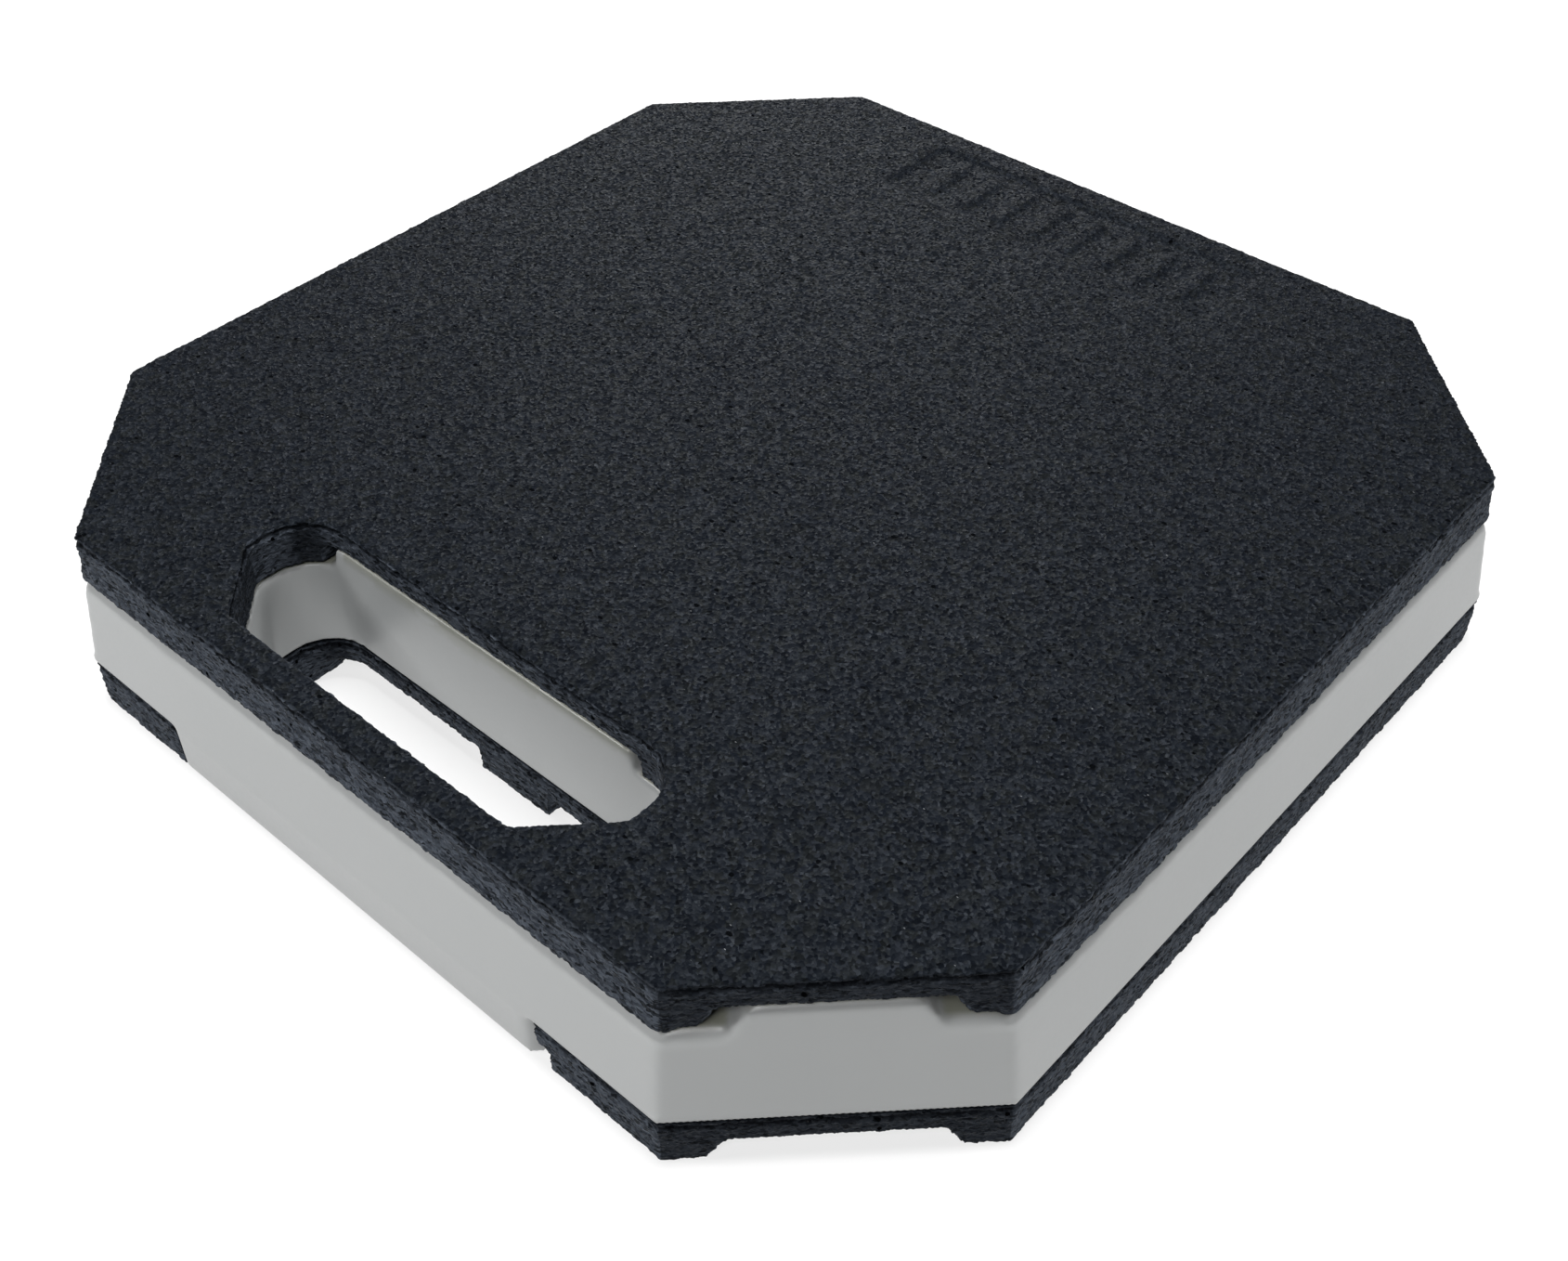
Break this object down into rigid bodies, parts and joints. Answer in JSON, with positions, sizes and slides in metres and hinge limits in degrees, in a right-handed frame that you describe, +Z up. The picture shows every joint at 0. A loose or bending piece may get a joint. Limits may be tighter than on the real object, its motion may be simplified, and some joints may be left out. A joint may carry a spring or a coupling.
{
  "type": "stabiliser jack pad",
  "caption": "Ground pad for a vehicle stabiliser jack: a rigid plastic core bonded between crumb-rubber pads, octagonal, with a through hand slot on one side and channels underneath.",
  "frame": {"origin": "middle of the ground plane: the centre of the footprint, at the height of the underside", "axes": "+Z up; the hand slot and its carrying bar are on the -Y side; +X is to the right when looking along +Y"},
  "size_m": [0.315, 0.315, 0.0555],
  "materials": {
    "crumb_rubber": "moulded crumb rubber, dark blue-black granules pressed flat, matt and rough at the edges",
    "core_plastic": "moulded polyethylene, light warm grey-white, satin",
    "adhesive": "cured polyurethane adhesive, amber, satin"
  },
  "bodies": {
    "root": {"top_pad": "crumb_rubber", "bottom_pad": "crumb_rubber", "core": "core_plastic", "top_bond_front": "adhesive", "top_bond_back": "adhesive", "top_bond_left": "adhesive", "top_bond_right": "adhesive", "bottom_bond_layer": "adhesive"}
  },
  "joints": []
}
